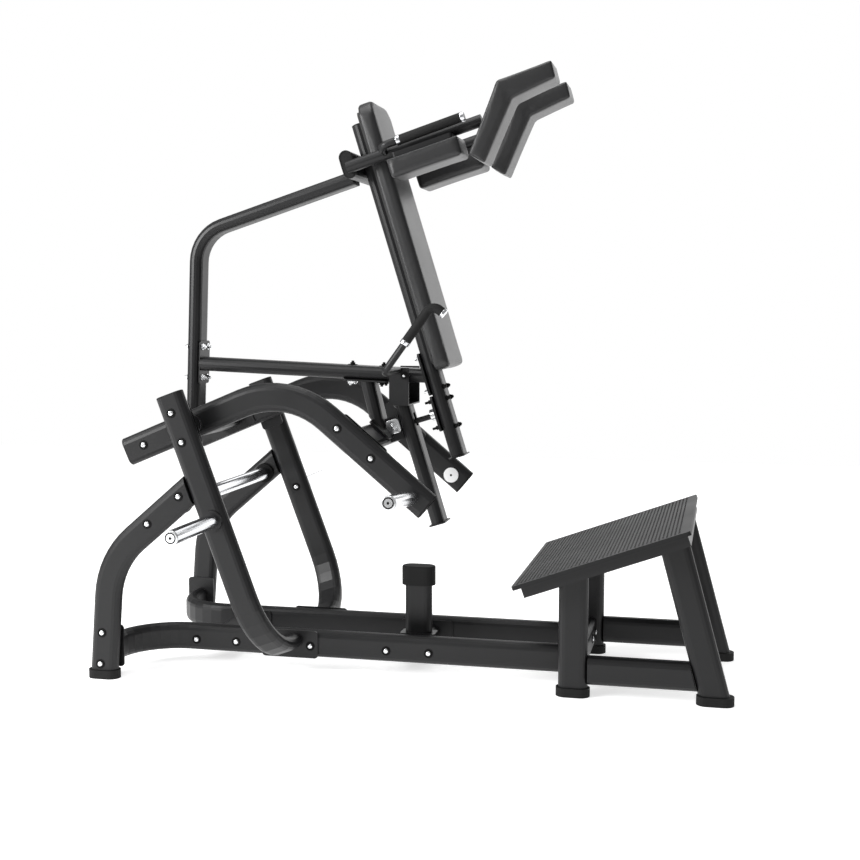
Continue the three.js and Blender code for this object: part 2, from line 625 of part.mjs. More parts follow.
for (const [side, sign] of SIDES) {
  buildRearLeg(side, sign);
  buildDiagonal(side, sign);
  buildBaseRail(side, sign);
  buildPlatformSide(side, sign);
  buildPivot(side, sign);
  buildStorageHorn(side, sign);
  buildArm(side, sign);
  buildShoulders(side, sign);
}
buildStop();
buildPlatformTop();
buildChromeTube();
buildMainTubes();
buildStrut();
buildPost();
buildBrace();
buildLever();
buildHipHandle();

export default machine;
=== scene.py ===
import json
import math

import bmesh
import bpy
from mathutils import Matrix, Vector


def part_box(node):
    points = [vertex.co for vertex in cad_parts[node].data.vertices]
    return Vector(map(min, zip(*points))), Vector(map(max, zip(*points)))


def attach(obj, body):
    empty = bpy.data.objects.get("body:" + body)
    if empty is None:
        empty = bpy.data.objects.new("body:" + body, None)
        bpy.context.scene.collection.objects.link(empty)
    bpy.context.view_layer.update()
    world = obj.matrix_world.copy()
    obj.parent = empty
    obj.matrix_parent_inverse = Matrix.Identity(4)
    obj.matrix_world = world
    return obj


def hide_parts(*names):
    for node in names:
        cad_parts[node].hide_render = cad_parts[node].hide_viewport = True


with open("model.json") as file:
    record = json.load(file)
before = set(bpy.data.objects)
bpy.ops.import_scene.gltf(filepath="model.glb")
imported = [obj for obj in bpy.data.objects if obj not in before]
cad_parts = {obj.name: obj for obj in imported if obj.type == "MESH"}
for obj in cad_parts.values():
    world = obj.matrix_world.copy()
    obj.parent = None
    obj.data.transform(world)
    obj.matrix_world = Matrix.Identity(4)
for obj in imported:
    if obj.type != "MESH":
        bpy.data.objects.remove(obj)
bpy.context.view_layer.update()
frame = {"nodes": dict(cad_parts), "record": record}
sides = {"left": 1, "right": -1}


# camera, lights and room

camera = {"place": (1.0704, -4.5313, 1.2966), "turn": 13.009, "down": 5.363, "lens": 54.0}

bpy.ops.object.camera_add(
    location=camera["place"],
    rotation=(math.radians(90 - camera["down"]), 0, math.radians(camera["turn"])),
)
sceneCamera = bpy.context.object
sceneCamera.data.lens = camera["lens"]
sceneCamera.data.sensor_width = 36
sceneCamera.data.clip_end = 60
bpy.context.scene.camera = sceneCamera

lightSetup = {
    "roomStrength": 0.36,
    "backdropStrength": 1.0,
    "lamps": [  # name, place, aimed at, size, watts
        ("keyLamp", (-4.4, -3.6, 2.8), (-0.2, 0.0, 0.8), 2.6, 360),
        ("topLamp", (-0.6, -0.8, 4.8), (0.0, 0.0, 0.8), 3.0, 110),
        ("backPanel", (1.2, 7.4, 2.2), (0.2, 0.0, 1.1), 8.0, 270),
    ],
}


def addLamp(name, place, aim, size, watts):
    bpy.ops.object.light_add(type="AREA", location=place)
    lamp = bpy.context.object
    lamp.name = name
    lamp.data.size = size
    lamp.data.energy = watts
    toward = Vector(aim) - Vector(place)
    lamp.rotation_euler = toward.to_track_quat("-Z", "Y").to_euler()


def buildRoom():
    world = bpy.data.worlds.new("studioRoom")
    world.use_nodes = True
    tree = world.node_tree
    roomLight = tree.nodes["Background"]
    roomLight.inputs["Color"].default_value = (1, 1, 1, 1)
    roomLight.inputs["Strength"].default_value = lightSetup["roomStrength"]
    backdrop = tree.nodes.new("ShaderNodeBackground")
    backdrop.inputs["Color"].default_value = (1, 1, 1, 1)
    backdrop.inputs["Strength"].default_value = lightSetup["backdropStrength"]
    rays = tree.nodes.new("ShaderNodeLightPath")
    choice = tree.nodes.new("ShaderNodeMixShader")
    tree.links.new(rays.outputs["Is Camera Ray"], choice.inputs[0])
    tree.links.new(roomLight.outputs["Background"], choice.inputs[1])
    tree.links.new(backdrop.outputs["Background"], choice.inputs[2])
    tree.links.new(choice.outputs["Shader"], tree.nodes["World Output"].inputs["Surface"])
    bpy.context.scene.world = world
    for lamp in lightSetup["lamps"]:
        addLamp(*lamp)
    bpy.context.scene.view_settings.view_transform = "Standard"


# small helpers for modelling

def startClean():
    if bpy.context.object and bpy.context.object.mode != "OBJECT":
        bpy.ops.object.mode_set(mode="OBJECT")
    bpy.ops.object.select_all(action="DESELECT")


def addRound(sideCount, radius, height, foot=0.0):
    # a cylinder up +Z that stands on the given height
    bpy.ops.mesh.primitive_cylinder_add(
        vertices=sideCount, radius=radius, depth=height, location=(0, 0, foot + height / 2))
    return bpy.context.object


def makeActive(piece):
    startClean()
    piece.select_set(True)
    bpy.context.view_layer.objects.active = piece


def pickFaces(piece, test):
    # leaves edit mode on, with the faces that pass the test selected
    bpy.ops.object.mode_set(mode="EDIT")
    bpy.ops.mesh.select_all(action="DESELECT")
    bpy.ops.mesh.select_mode(type="FACE")
    mesh = bmesh.from_edit_mesh(piece.data)
    mesh.faces.ensure_lookup_table()
    for face in mesh.faces:
        face.select_set(test(face))
    bmesh.update_edit_mesh(piece.data)


def raiseFaces(distance, shrink=1.0):
    bpy.ops.mesh.extrude_region_move(TRANSFORM_OT_translate={"value": (0, 0, distance)})
    bpy.ops.transform.resize(value=(shrink, shrink, 1))


def addModifier(piece, kind, **settings):
    modifier = piece.modifiers.new(kind.lower(), kind)
    for name, value in settings.items():
        setattr(modifier, name, value)
    return modifier


def applyModifiers(piece):
    makeActive(piece)
    for modifier in list(piece.modifiers):
        bpy.ops.object.modifier_apply(modifier=modifier.name)


def finishShape(piece, name, angle=35):
    makeActive(piece)
    bpy.ops.object.transform_apply(location=True, rotation=True, scale=True)
    bpy.ops.object.shade_smooth_by_angle(angle=math.radians(angle))
    piece.name = name
    piece.data.name = name
    return piece


def setMaterials(piece, *materials):
    piece.data.materials.clear()
    for material in materials:
        piece.data.materials.append(material)


def copyTo(piece, matrix, name):
    twin = piece.copy()
    twin.data = piece.data.copy()
    twin.name = name
    bpy.context.collection.objects.link(twin)
    twin.data.transform(matrix)
    return twin


def joinPieces(pieces, name):
    startClean()
    for piece in pieces:
        piece.select_set(True)
    bpy.context.view_layer.objects.active = pieces[0]
    bpy.ops.object.join()
    joined = bpy.context.object
    joined.name = name
    joined.data.name = name
    return joined


def dropPiece(piece):
    mesh = piece.data
    bpy.data.objects.remove(piece)
    bpy.data.meshes.remove(mesh)


def turnedTo(direction, place):
    # carries a piece modelled up +Z from the origin to a place, with +Z along a direction
    turn = Vector((0, 0, 1)).rotation_difference(Vector(direction)).to_matrix().to_4x4()
    return Matrix.Translation(Vector(place)) @ turn


def middle(node):
    low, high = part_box(node)
    return (Vector(low) + Vector(high)) / 2


def leaning(degrees):
    return Vector((math.cos(math.radians(degrees)), 0, math.sin(math.radians(degrees))))


# materials

def newMaterial(name):
    material = bpy.data.materials.new(name)
    material.use_nodes = True
    tree = material.node_tree
    return material, tree, tree.nodes["Principled BSDF"]


def newGroup(name, inputs, outputs):
    group = bpy.data.node_groups.new(name, "ShaderNodeTree")
    for label, kind, value in inputs:
        socket = group.interface.new_socket(name=label, in_out="INPUT", socket_type=kind)
        if value is not None:
            socket.default_value = value
    for label, kind in outputs:
        group.interface.new_socket(name=label, in_out="OUTPUT", socket_type=kind)
    ends = group.nodes.new("NodeGroupInput"), group.nodes.new("NodeGroupOutput")
    return group, *ends


def addNode(tree, kind, **values):
    node = tree.nodes.new(kind)
    for name, value in values.items():
        if hasattr(node, name):
            setattr(node, name, value)
        else:
            node.inputs[name.replace("_", " ")].default_value = value
    return node


def remap(tree, source, low, high, target):
    spread = addNode(tree, "ShaderNodeMapRange")
    spread.inputs["To Min"].default_value = low
    spread.inputs["To Max"].default_value = high
    tree.links.new(source, spread.inputs["Value"])
    tree.links.new(spread.outputs["Result"], target)


def buildGrain():
    # fine pimples of a baked or moulded surface, with a slow variation over them
    group, start, end = newGroup(
        "fineGrain",
        [
            ("Vector", "NodeSocketVector", None),
            ("Grain Scale", "NodeSocketFloat", 900.0),
            ("Patch Scale", "NodeSocketFloat", 6.0),
        ],
        [("Height", "NodeSocketFloat"), ("Patches", "NodeSocketFloat")],
    )
    grain = addNode(group, "ShaderNodeTexNoise", Detail=2.0, Roughness=0.5)
    patches = addNode(group, "ShaderNodeTexNoise", Detail=4.0, Roughness=0.6)
    for node, scale in ((grain, "Grain Scale"), (patches, "Patch Scale")):
        group.links.new(start.outputs["Vector"], node.inputs["Vector"])
        group.links.new(start.outputs[scale], node.inputs["Scale"])
    group.links.new(grain.outputs["Fac"], end.inputs["Height"])
    group.links.new(patches.outputs["Fac"], end.inputs["Patches"])
    return group


def buildScuffs():
    # short thin scratches, mostly along one direction
    group, start, end = newGroup(
        "lightScuffs",
        [("Vector", "NodeSocketVector", None), ("Scale", "NodeSocketFloat", 30.0)],
        [("Scuffs", "NodeSocketFloat")],
    )
    stretch = addNode(group, "ShaderNodeMapping")
    stretch.inputs["Scale"].default_value = (1.0, 9.0, 5.0)
    stretch.inputs["Rotation"].default_value = (0.3, 0.7, 0.2)
    scratches = addNode(group, "ShaderNodeTexNoise", Detail=3.0, Roughness=0.7)
    ramp = addNode(group, "ShaderNodeValToRGB")
    ramp.color_ramp.elements[0].position = 0.62
    ramp.color_ramp.elements[1].position = 0.72
    group.links.new(start.outputs["Vector"], stretch.inputs["Vector"])
    group.links.new(stretch.outputs["Vector"], scratches.inputs["Vector"])
    group.links.new(start.outputs["Scale"], scratches.inputs["Scale"])
    group.links.new(scratches.outputs["Fac"], ramp.inputs["Fac"])
    group.links.new(ramp.outputs["Color"], end.inputs["Scuffs"])
    return group


def buildLeather():
    # pebbled cells parted by creases, broken up by a finer noise; the crease mask is also used to paint
    # shade into the creases
    group, start, end = newGroup(
        "hideGrain",
        [("Vector", "NodeSocketVector", None), ("Scale", "NodeSocketFloat", 420.0)],
        [("Height", "NodeSocketFloat"), ("CreaseShade", "NodeSocketFloat")],
    )
    cells = addNode(group, "ShaderNodeTexVoronoi", feature="DISTANCE_TO_EDGE")
    creases = addNode(group, "ShaderNodeMapRange")
    creases.inputs["From Max"].default_value = 0.22
    fine = addNode(group, "ShaderNodeTexNoise", Detail=3.0)
    fine.inputs["Scale"].default_value = 1100.0
    blend = addNode(group, "ShaderNodeMix", data_type="FLOAT")
    blend.inputs["Factor"].default_value = 0.25
    group.links.new(start.outputs["Vector"], cells.inputs["Vector"])
    group.links.new(start.outputs["Scale"], cells.inputs["Scale"])
    group.links.new(start.outputs["Vector"], fine.inputs["Vector"])
    group.links.new(cells.outputs["Distance"], creases.inputs["Value"])
    group.links.new(creases.outputs["Result"], blend.inputs["A"])
    group.links.new(fine.outputs["Fac"], blend.inputs["B"])
    group.links.new(blend.outputs["Result"], end.inputs["Height"])
    group.links.new(creases.outputs["Result"], end.inputs["CreaseShade"])
    return group


grainGroup = buildGrain()
scuffGroup = buildScuffs()
leatherGroup = buildLeather()


def placeGroup(tree, group, coordinates, **values):
    node = tree.nodes.new("ShaderNodeGroup")
    node.node_tree = group
    tree.links.new(coordinates.outputs["Object"], node.inputs["Vector"])
    for name, value in values.items():
        node.inputs[name.replace("_", " ")].default_value = value
    return node


def addBump(tree, shader, height, strength, distance):
    bump = addNode(tree, "ShaderNodeBump", Strength=strength, Distance=distance)
    tree.links.new(height, bump.inputs["Height"])
    tree.links.new(bump.outputs["Normal"], shader.inputs["Normal"])


def mixColours(tree, factor, first, second, target):
    mix = addNode(tree, "ShaderNodeMix", data_type="RGBA")
    mix.inputs["A"].default_value = (*first, 1)
    mix.inputs["B"].default_value = (*second, 1)
    tree.links.new(factor, mix.inputs["Factor"])
    tree.links.new(mix.outputs["Result"], target)
    return mix


def grainedFinish(name, dark, light, rough, metallic=0.0, grain=900.0, depth=0.00004, specular=0.5):
    # one colour that drifts a little, a roughness that drifts with it, and a fine bump
    material, tree, shader = newMaterial(name)
    coordinates = addNode(tree, "ShaderNodeTexCoord")
    surface = placeGroup(tree, grainGroup, coordinates, Grain_Scale=grain)
    mixColours(tree, surface.outputs["Patches"], dark, light, shader.inputs["Base Color"])
    remap(tree, surface.outputs["Patches"], rough[0], rough[1], shader.inputs["Roughness"])
    addBump(tree, shader, surface.outputs["Height"], 0.25, depth)
    shader.inputs["Metallic"].default_value = metallic
    shader.inputs["Specular IOR Level"].default_value = specular
    return material, tree, shader


def chromeFinish():
    material, tree, shader = newMaterial("polishedChrome")
    coordinates = addNode(tree, "ShaderNodeTexCoord")
    surface = placeGroup(tree, grainGroup, coordinates, Grain_Scale=300.0, Patch_Scale=14.0)
    scuffs = placeGroup(tree, scuffGroup, coordinates, Scale=60.0)
    bright, worn = (0.66, 0.67, 0.69), (0.5, 0.51, 0.53)
    mixColours(tree, scuffs.outputs["Scuffs"], bright, worn, shader.inputs["Base Color"])
    remap(tree, surface.outputs["Patches"], 0.12, 0.24, shader.inputs["Roughness"])
    addBump(tree, shader, scuffs.outputs["Scuffs"], 0.08, 0.00005)
    shader.inputs["Metallic"].default_value = 1.0
    return material


def upholsteryFinish():
    material, tree, shader = newMaterial("padHide")
    coordinates = addNode(tree, "ShaderNodeTexCoord")
    hide = placeGroup(tree, leatherGroup, coordinates)
    surface = placeGroup(tree, grainGroup, coordinates, Patch_Scale=4.0)
    # the creases get the darker tone: painted shade in the grain's hollows
    creaseShade, smooth = (0.006, 0.006, 0.0065), (0.013, 0.013, 0.0135)
    mixColours(tree, hide.outputs["CreaseShade"], creaseShade, smooth, shader.inputs["Base Color"])
    remap(tree, surface.outputs["Patches"], 0.34, 0.46, shader.inputs["Roughness"])
    addBump(tree, shader, hide.outputs["Height"], 0.35, 0.00025)
    shader.inputs["Sheen Weight"].default_value = 0.04
    shader.inputs["Sheen Roughness"].default_value = 0.4
    shader.inputs["Specular IOR Level"].default_value = 0.5
    return material


def evenGrey(value, blue=0.0):
    return (value, value, value + blue)


# each finish: darker and lighter tone, then the range of its roughness
paint = grainedFinish(
    "satinPowderCoat", evenGrey(0.005, 0.0005), evenGrey(0.009, 0.0005), (0.34, 0.46), specular=0.34)[0]
rubber = grainedFinish(
    "mouldedRubber", evenGrey(0.004), evenGrey(0.010), (0.6, 0.85),
    specular=0.25, grain=500.0, depth=0.0001)[0]
steel = grainedFinish(
    "machinedSteel", (0.74, 0.75, 0.76), (0.88, 0.89, 0.9), (0.2, 0.34), metallic=1.0, grain=260.0)[0]
# near-black finish of the black bolts, collars and covers; turnedEnd also puts it in grooves as painted
# shade
blackAndGrooveShade = grainedFinish(
    "blackPartsAndGrooveShade", evenGrey(0.001), evenGrey(0.003), (0.5, 0.7), specular=0.15)[0]
padBoard = grainedFinish(
    "padBoard", evenGrey(0.012), evenGrey(0.024), (0.55, 0.75), grain=350.0, depth=0.0001)[0]
treadCoat = grainedFinish(
    "treadCoat", evenGrey(0.005, 0.0005), evenGrey(0.012, 0.0005), (0.48, 0.62),
    specular=0.26, grain=600.0, depth=0.0001)[0]
whiteCap = grainedFinish(
    "whitePlastic", evenGrey(0.85), evenGrey(0.92), (0.3, 0.42), grain=300.0)[0]
chrome = chromeFinish()
hideMaterial = upholsteryFinish()

slotMaterials = {
    "black_frame": paint,
    "chrome_bar": chrome,
    "bright_steel": steel,
    "black_rubber": rubber,
    "upholstery": hideMaterial,
    "pad_board": padBoard,
}
slotOf = {part["node"]: part["material_slot"] for part in frame["record"]["subparts"]}
for nodeName, nodeObject in frame["nodes"].items():
    setMaterials(nodeObject, treadCoat if nodeName == "tread_plate" else slotMaterials[slotOf[nodeName]])
print("materials on the frame's nodes")


# bolts

boltSize = {"recessRadius": 0.0165, "headRadius": 0.0088, "headHeight": 0.0055, "pair": 0.155}


def modelBolt():
    # a dark dished washer with a bright domed head and a hexagon socket
    startClean()
    bolt = addRound(18, boltSize["recessRadius"], 0.0016)
    pickFaces(bolt, lambda face: face.normal.z > 0.9)
    bpy.ops.mesh.inset(thickness=0.003)
    bpy.ops.transform.translate(value=(0, 0, 0.0008))
    bpy.ops.mesh.inset(thickness=0.002)
    bpy.ops.transform.translate(value=(0, 0, -0.0014))
    bpy.ops.mesh.inset(thickness=boltSize["recessRadius"] - 0.005 - boltSize["headRadius"])
    raiseFaces(boltSize["headHeight"] * 0.45)
    raiseFaces(boltSize["headHeight"] * 0.35, 0.86)
    raiseFaces(boltSize["headHeight"] * 0.2, 0.72)
    bpy.ops.mesh.inset(thickness=0.0012)
    raiseFaces(-0.0022)
    bpy.ops.object.mode_set(mode="OBJECT")
    setMaterials(bolt, blackAndGrooveShade, steel)
    for polygon in bolt.data.polygons:
        reach = Vector(polygon.center).xy.length
        polygon.material_index = 1 if reach < boltSize["headRadius"] * 1.01 else 0
    return finishShape(bolt, "boltPattern", 30)


def boltPairs():
    # node whose outer face holds the bolts, its body, middle of the pair, direction, spacing
    pairs = []
    wide = boltSize["pair"]
    for side in sides:
        pairs += [
            (f"lever_arm_{side}", "carriage", middle("rear_arm_cross_member"), leaning(22.6), wide),
            (f"lever_arm_{side}", "carriage", middle("front_arm_cross_member"), leaning(-40), wide),
            (f"base_rail_{side}", "frame", middle("rear_rail_cross_member"), leaning(0), wide),
            (f"base_rail_{side}", "frame", middle("stop_cross_member"), leaning(0), wide),
            (f"diagonal_strut_{side}", "frame", middle("pivot_shaft_left"), leaning(-69.7), 0.106),
            (f"rear_leg_{side}", "frame", Vector((-1.0555, 0, 0.109)), leaning(85.6), 0.112),
            (f"rear_leg_{side}", "frame", Vector((-0.813, 0, 0.607)), leaning(40.3), 0.154),
        ]
    return pairs


boltSpots = {  # metres; faces are distances out from the middle plane
    "railFace": 0.182,
    "hornX": -0.630, "hornZ": 0.577, "diagonalInnerFace": 0.4127,
    "flangeX": -0.454, "flangeZ": 0.086, "flangeFace": 0.1875,
    "railY": 0.157, "crossTubeZ": 0.096, "crossTubeHalf": 0.05,
}


def placeBolts(bolt):
    groups = {"frame": [], "carriage": []}
    for node, body, centre, along, spacing in boltPairs():
        low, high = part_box(node)
        sign = 1 if node.endswith("left") else -1
        face = max(abs(low[1]), abs(high[1]))
        if node.startswith("base_rail"):
            face = boltSpots["railFace"]
        for step in (-0.5, 0.5):
            spot = centre + along * spacing * step
            matrix = turnedTo((0, sign, 0), (spot.x, sign * face, spot.z))
            groups[body].append(copyTo(bolt, matrix, "boltCopy"))
    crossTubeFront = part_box("platform_cross_tube")[1][0]
    for side, sign in sides.items():
        hornRoot = (boltSpots["hornX"], sign * boltSpots["diagonalInnerFace"], boltSpots["hornZ"])
        places = [((0, -sign, 0), hornRoot)]
        for step in (-1, 1):
            x = boltSpots["flangeX"] + step * boltSize["pair"] / 2
            places.append(((0, sign, 0), (x, sign * boltSpots["flangeFace"], boltSpots["flangeZ"])))
            y = sign * boltSpots["railY"] + step * boltSpots["crossTubeHalf"]
            places.append(((1, 0, 0), (crossTubeFront, y, boltSpots["crossTubeZ"])))
        for outward, spot in places:
            groups["frame"].append(copyTo(bolt, turnedTo(outward, spot), "boltCopy"))
    for body, bolts in groups.items():
        joined = joinPieces(bolts, f"{body}Bolts")
        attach(joined, body)


boltPattern = modelBolt()
placeBolts(boltPattern)
dropPiece(boltPattern)
print("bolts placed")


# hexagon bolts and nuts on the backrest, the horizontal tube and the upright

hexKinds = {  # finish, slot, hexagon's radius and height, washer's radius, shank's radius and stand-out
    "Bright": (steel, "bright_steel", 0.0095, 0.008, 0.012, 0.005, 0.005),
    "Small": (blackAndGrooveShade, "black_frame", 0.0078, 0.006, 0.0095, 0.004, 0.003),
    "Wide": (blackAndGrooveShade, "black_frame", 0.0095, 0.007, 0.018, 0.005, 0.006),
    "Long": (blackAndGrooveShade, "black_frame", 0.0085, 0.009, 0.0105, 0.0045, 0.014),
}
washerHeight = 0.0022
backrestUp = leaning(107.15)
backrestOut = leaning(17.15)
postFoot = Vector((0.133, 0, 0.767))
# the horizontal tube's middle line: its rear end and the degrees it falls toward the front
strutLine = {"rearX": -0.848, "rearZ": 1.0923, "slope": 2.35}


def onBackrest(out, up, y=0.0):
    return postFoot + backrestOut * out + backrestUp * up + Vector((0, y, 0))


def modelHexBolt(kind):
    # a washer, a six-sided head with worn corners, and the shank's end past it
    finish, _, across, height, washer, shank, standOut = hexKinds[kind]
    parts = []
    layers = [  # sides, radius, foot, height, edge
        (24, washer, 0.0, washerHeight, 0.0005),
        (6, across, washerHeight, height, 0.0012),
        (16, shank, washerHeight + height, standOut, 0.001),
    ]
    for sideCount, radius, foot, depth, edge in layers:
        startClean()
        layer = addRound(sideCount, radius, depth, foot)
        pickFaces(layer, lambda face: face.normal.z > 0.9)
        bpy.ops.mesh.bevel(offset=edge, segments=2)
        bpy.ops.object.mode_set(mode="OBJECT")
        bpy.ops.object.transform_apply(location=True, rotation=False, scale=False)
        parts.append(layer)
    bolt = joinPieces(parts, "hexPattern")
    setMaterials(bolt, finish)
    return finishShape(bolt, "hexPattern", 30)


def hexPlaces():
    # kind, place, outward direction
    places = []
    for y in (-0.03, 0.03):
        for up in (0.122, 0.218):  # the brace's flange
            places.append(("Long", onBackrest(-0.0335, up, y), -backrestOut))
        for up in (0.256, 0.380):  # the horizontal tube's flange
            places.append(("Bright", onBackrest(-0.0335, up, y), -backrestOut))
        for up in (0.111, 0.215, 0.258):  # nuts on the post's front
            places.append(("Small", onBackrest(0.0252, up, y), backrestOut))
    tubeSlope = math.tan(math.radians(strutLine["slope"]))
    # the strut's top flange, above and below the tube
    for kind, x in (("Bright", -0.266), ("Wide", -0.148)):
        middleZ = strutLine["rearZ"] - (x - strutLine["rearX"]) * tubeSlope
        places.append(("Wide", Vector((x, 0, middleZ + 0.0252)), leaning(87.65)))
        places.append((kind, Vector((x, -0.03, middleZ - 0.0318)), leaning(-92.35)))
        places.append((kind, Vector((x, 0.03, middleZ - 0.0318)), leaning(-92.35)))
    for z in (1.041, 1.156):  # the horizontal tube's rear flange, through the upright
        frontX = -0.8438 + (z - 1.098) * 0.041
        for y in (-0.025, 0.025):
            places.append(("Bright", Vector((frontX, y, z)), leaning(-2.35)))
            places.append(("Bright", Vector((frontX - 0.0552, y, z)), leaning(177.65)))
    return places


def placeHexBolts():
    places = hexPlaces()
    for kind, settings in hexKinds.items():
        pattern = modelHexBolt(kind)
        copies = [
            copyTo(pattern, turnedTo(outward, place), "hexCopy")
            for which, place, outward in places if which == kind
        ]
        joined = joinPieces(copies, f"carriageHex{kind}")
        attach(joined, "carriage")
        dropPiece(pattern)


placeHexBolts()
print("hexagon bolts placed")


# flat-oval end caps, as pressed into the ends of the tubes

capSize = {"long": 0.1, "short": 0.05, "height": 0.004, "lip": 0.0035}


def modelEndCap():
    startClean()
    radius = capSize["short"] / 2
    cap = addRound(32, radius, capSize["height"])
    stretch = (capSize["long"] - capSize["short"]) / 2
    for vertex in cap.data.vertices:
        if abs(vertex.co.x) > 1e-6:
            vertex.co.x += math.copysign(stretch, vertex.co.x)
    pickFaces(cap, lambda face: face.normal.z > 0.9)
    bpy.ops.mesh.bevel(offset=0.0015, segments=2)
    bpy.ops.object.mode_set(mode="OBJECT")
    pickFaces(cap, lambda face: face.normal.z > 0.9)
    bpy.ops.mesh.inset(thickness=capSize["lip"])
    raiseFaces(-0.0012)
    bpy.ops.object.mode_set(mode="OBJECT")
    setMaterials(cap, rubber)
    return finishShape(cap, "capPattern", 30)


def capPlaces():
    # name, body, place, outward direction, long side's direction
    places = []
    for side, sign in sides.items():
        armRear = Vector((-1.002, sign * 0.319, 0.791))
        armFront = Vector((0.086, sign * 0.319, 0.630))
        diagonalTop = Vector((-0.789, sign * 0.438, 1.002))
        places += [
            (f"armRearCap_{side}", "carriage", armRear, -leaning(22.57), leaning(112.57)),
            (f"armFrontCap_{side}", "carriage", armFront, leaning(-39.98), leaning(50.02)),
            (f"diagonalCap_{side}", "frame", diagonalTop, leaning(110.31), leaning(20.31)),
        ]
        head = middle("head_cross_tube")
        headEnd = Vector((head.x, sign * 0.1437, head.z))
        places.append((f"headTubeCap_{side}", "carriage", headEnd, Vector((0, sign, 0)), backrestUp))
    places.append(("backPostCap", "carriage", onBackrest(0, 1.235), backrestUp, Vector((0, 1, 0))))
    return places


def placeEndCaps(cap):
    for name, body, place, outward, wide in capPlaces():
        across = outward.cross(wide)
        matrix = Matrix.Translation(place) @ Matrix((wide, across, outward)).transposed().to_4x4()
        piece = copyTo(cap, matrix, name)
        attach(piece, body)


capPattern = modelEndCap()
placeEndCaps(capPattern)
dropPiece(capPattern)
print("end caps placed")


# grips, collars and horn ends

gripSize = {"radius": 0.0165, "collarRadius": 0.0172, "collarLength": 0.014}
def roundPiece(name, radius, length, material, body, matrix, edge=0.0012):
    # a turned piece from the origin up +Z, with a bevel round both rims, then carried to its place
    startClean()
    piece = addRound(32, radius, length)
    pickFaces(piece, lambda face: abs(face.normal.z) > 0.9)
    bpy.ops.mesh.bevel(offset=edge, segments=3)
    bpy.ops.object.mode_set(mode="OBJECT")
    setMaterials(piece, material)
    finishShape(piece, name)
    piece.data.transform(matrix)
    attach(piece, body)
    return piece


def tubeAlong(name, points, radius, material, body):
    # a sleeve that follows a handle's own centre line
    startClean()
    curve = bpy.data.curves.new(name, "CURVE")
    curve.dimensions = "3D"
    curve.bevel_depth = radius
    curve.bevel_resolution = 6
    curve.use_fill_caps = True
    spline = curve.splines.new("POLY")
    spline.points.add(len(points) - 1)
    for point, place in zip(spline.points, points):
        point.co = (*place, 1)
    piece = bpy.data.objects.new(name, curve)
    bpy.context.collection.objects.link(piece)
    makeActive(piece)
    bpy.ops.object.convert(target="MESH")
    piece = bpy.context.object
    setMaterials(piece, material)
    finishShape(piece, name, 50)
    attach(piece, body)
    return piece


def bentLine(before, corner, after, radius, steps=8):
    # points round a filleted corner
    arriving = (corner - before).normalized()
    leaving = (after - corner).normalized()
    turn = arriving.angle(leaving)
    start = corner - arriving * radius * math.tan(turn / 2)
    inward = (leaving - arriving * arriving.dot(leaving)).normalized()
    angles = [turn * step / steps for step in range(steps + 1)]
    return [start + arriving * radius * math.sin(a) + inward * radius * (1 - math.cos(a)) for a in angles]


def buildShoulderGrips():
    for side, sign in sides.items():
        rise = (backrestOut * 0.308 + backrestUp * 0.003).normalized()
        start = onBackrest(0.172, 1.0978, sign * 0.235)
        end = onBackrest(0.392, 1.0998, sign * 0.235)
        length = (end - start).length
        roundPiece(f"shoulderGrip_{side}", gripSize["radius"], length, rubber, "carriage",
                   turnedTo(rise, start), 0.002)
        for label, spot in (("Rear", start - rise * 0.013), ("Front", end - rise * 0.001)):
            roundPiece(f"shoulderCollar{label}_{side}", gripSize["collarRadius"], gripSize["collarLength"],
                       chrome, "carriage", turnedTo(rise, spot))


def buildHipGrip():
    elbow = Vector((-0.069, -0.3, 1.079))
    crown = Vector((0.101, -0.3, 1.312))
    tip = Vector((0.141, -0.3, 1.280))
    upward = (crown - elbow).normalized()
    ending = (tip - crown).normalized()
    start = elbow + upward * 0.135
    points = [start, *bentLine(elbow, crown, tip, 0.030), tip - ending * 0.006]
    tubeAlong("hipGrip", points, gripSize["radius"], rubber, "safety_lever")
    roundPiece("hipCollarLow", gripSize["collarRadius"], gripSize["collarLength"], chrome,
               "safety_lever", turnedTo(upward, start - upward * 0.013))
    roundPiece("hipCollarEnd", gripSize["collarRadius"], 0.01, chrome,
               "safety_lever", turnedTo(ending, tip - ending * 0.007))


hornEnd = {"radius": 0.0242, "height": 0.006, "edge": 0.003}
hornEndRings = [(0.0026, -0.0018), (0.0042, 0.0022), (0.0078, 0.0015), (0.002, -0.002)]  # inset, then lift
hornGrooves = ((0.0145, 0.0185), (0, 0.0048))
# the horn end's grooves, painted near-black as shade


def ringTop(piece, rings):
    pickFaces(piece, lambda face: face.normal.z > 0.9 and face.calc_area() > 0.0001)
    for inset, lift in rings:
        bpy.ops.mesh.inset(thickness=inset)
        raiseFaces(lift)
    bpy.ops.object.mode_set(mode="OBJECT")


def turnedEnd(name, size, rings, material, body, matrix, dark=()):
    # a turned end with rings in its face, modelled up +Z and carried to its place
    # dark holds the inner and outer radius of each groove that is in shadow; those faces take the
    # near-black finish as painted shade
    startClean()
    piece = addRound(48, size["radius"], size["height"])
    pickFaces(piece, lambda face: face.normal.z > 0.9)
    bpy.ops.mesh.bevel(offset=size["edge"], segments=3)
    bpy.ops.object.mode_set(mode="OBJECT")
    ringTop(piece, rings)
    setMaterials(piece, material, blackAndGrooveShade)
    for polygon in piece.data.polygons:
        reach = Vector(polygon.center).xy.length
        inGroove = any(low <= reach < high for low, high in dark)
        polygon.material_index = 1 if inGroove and polygon.center.z > -0.4 * size["height"] else 0
    finishShape(piece, name, 40)
    piece.data.transform(matrix)
    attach(piece, body)
    return piece


